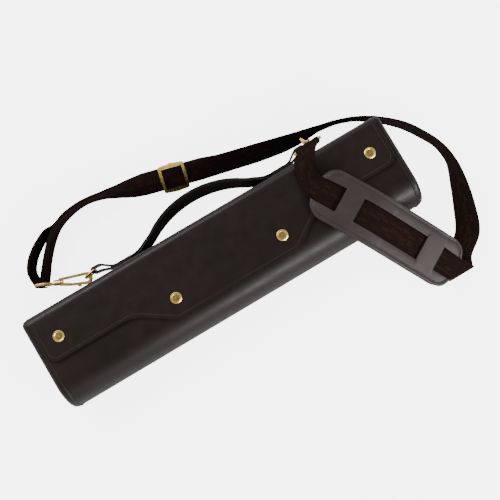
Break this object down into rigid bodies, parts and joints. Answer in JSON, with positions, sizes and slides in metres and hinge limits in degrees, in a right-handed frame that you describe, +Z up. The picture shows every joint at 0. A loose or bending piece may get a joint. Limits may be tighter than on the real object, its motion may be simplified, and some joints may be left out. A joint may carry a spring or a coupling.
{
  "type": "cue case",
  "caption": "Dark brown leather cue case lying on its back, with a snap-down front flap, arched handle and clip-on webbing shoulder strap with pad.",
  "frame": {"origin": "on the back panel's outer face, which lies on the ground, under the middle of the case", "axes": "+X along the case's length to the end with the shoulder pad, +Y towards the handle, +Z up out of the flap side"},
  "size_m": [0.9203, 0.524, 0.1705],
  "materials": {
    "case_leather": "smooth satin, very dark brown",
    "edge_leather": "smooth satin, nearly black brown",
    "pad_leather": "satin grey brown",
    "board": "stiff fibre board",
    "foam": "matte black foam",
    "lining": "matte brushed cloth",
    "gold": "polished pale gold plate",
    "steel": "plain",
    "webbing": "woven two-tone webbing"
  },
  "bodies": {
    "case": {"body_wrap": "case_leather", "shell_board": "board", "shell_lining": "lining", "mouth_binding": "case_leather", "left_end_board": "board", "right_end_board": "board", "left_welt": "edge_leather", "right_welt": "edge_leather", "left_end_panel": "case_leather", "right_end_panel": "case_leather", "left_end_foam": "foam", "right_end_foam": "foam", "left_cradle": "foam", "middle_cradle": "foam", "right_cradle": "foam", "left_keeper": "lining", "middle_keeper": "lining", "right_keeper": "lining", "snap_studs": "gold", "snap_eyelets": "gold", "handle_strip": "edge_leather", "left_handle_foot": "edge_leather", "right_handle_foot": "edge_leather", "handle_rivets": "steel", "left_swivel_eye": "gold", "right_swivel_eye": "gold", "strap_run": "webbing", "strap_return": "webbing"},
    "flap_body": {"flap": "case_leather", "flap_backing": "lining", "snap_caps": "gold", "snap_sockets": "gold", "shoulder_pad_base": "pad_leather", "shoulder_pad_foam": "foam", "shoulder_pad_face": "pad_leather", "strap_pad_run": "webbing", "strap_fold_run": "webbing", "strap_hook_run": "webbing"},
    "handle": {"handle_outer_layer": "edge_leather", "handle_inner_layer": "edge_leather"},
    "left_ring_body": {"left_ring": "gold"},
    "right_ring_body": {"right_ring": "gold"},
    "left_hook": {"left_hook_body": "gold", "left_gate_pin": "gold", "left_gate_spring": "steel"},
    "left_gate": {"left_hook_gate": "gold"},
    "right_hook": {"right_hook_body": "gold", "right_gate_pin": "gold", "right_gate_spring": "steel"},
    "right_gate": {"right_hook_gate": "gold"},
    "buckle": {"slide_buckle": "gold"}
  },
  "joints": [
    {"name": "flap_fold", "type": "hinge", "parent": "case", "child": "flap_body", "pos_m": [0, 0.0962, 0.105], "axis": [-1, 0, 0], "range_deg": [0, 80], "deforming": ["strap_fold_run", "strap_hook_run"]},
    {"name": "handle_fold", "type": "hinge", "parent": "case", "child": "handle", "pos_m": [0.006, 0.10695, 0.052], "axis": [1, 0, 0], "range_deg": [-15, 60], "deforming": ["handle_outer_layer", "handle_inner_layer"]},
    {"name": "left_ring_swing", "type": "hinge", "parent": "case", "child": "left_ring_body", "pos_m": [-0.236, 0.122, 0.052], "axis": [0, 0, 1], "range_deg": [-4, 4]},
    {"name": "right_ring_swing", "type": "hinge", "parent": "case", "child": "right_ring_body", "pos_m": [0.248, 0.122, 0.052], "axis": [0, 0, 1], "range_deg": [-4, 4]},
    {"name": "left_hook_swivel", "type": "hinge", "parent": "case", "child": "left_hook", "pos_m": [-0.2593, 0.11774, 0.04888], "axis": [-0.9156, 0.3643, -0.1701], "range_deg": [-18, 18]},
    {"name": "left_gate_snap", "type": "hinge", "parent": "left_hook", "child": "left_gate", "pos_m": [-0.29584, 0.12414, 0.04179], "axis": [-0.1966, -0.0367, 0.9798], "range_deg": [0, 16], "stiffness_Nm_per_rad": 0.06, "springref_deg": -11.46},
    {"name": "right_hook_swivel", "type": "hinge", "parent": "case", "child": "right_hook", "pos_m": [0.25967, 0.1265, 0.06697], "axis": [-0.1671, -0.2001, 0.9654], "range_deg": [-18, 18]},
    {"name": "right_gate_snap", "type": "hinge", "parent": "right_hook", "child": "right_gate", "pos_m": [0.25105, 0.12622, 0.10375], "axis": [-0.932, -0.2874, -0.2209], "range_deg": [0, 16], "stiffness_Nm_per_rad": 0.06, "springref_deg": -11.46},
    {"name": "buckle_slide", "type": "slide", "parent": "case", "child": "buckle", "axis": [0.9676, -0.2524, 0], "range_m": [-0.01, 0.01], "deforming": ["strap_return"]}
  ]
}
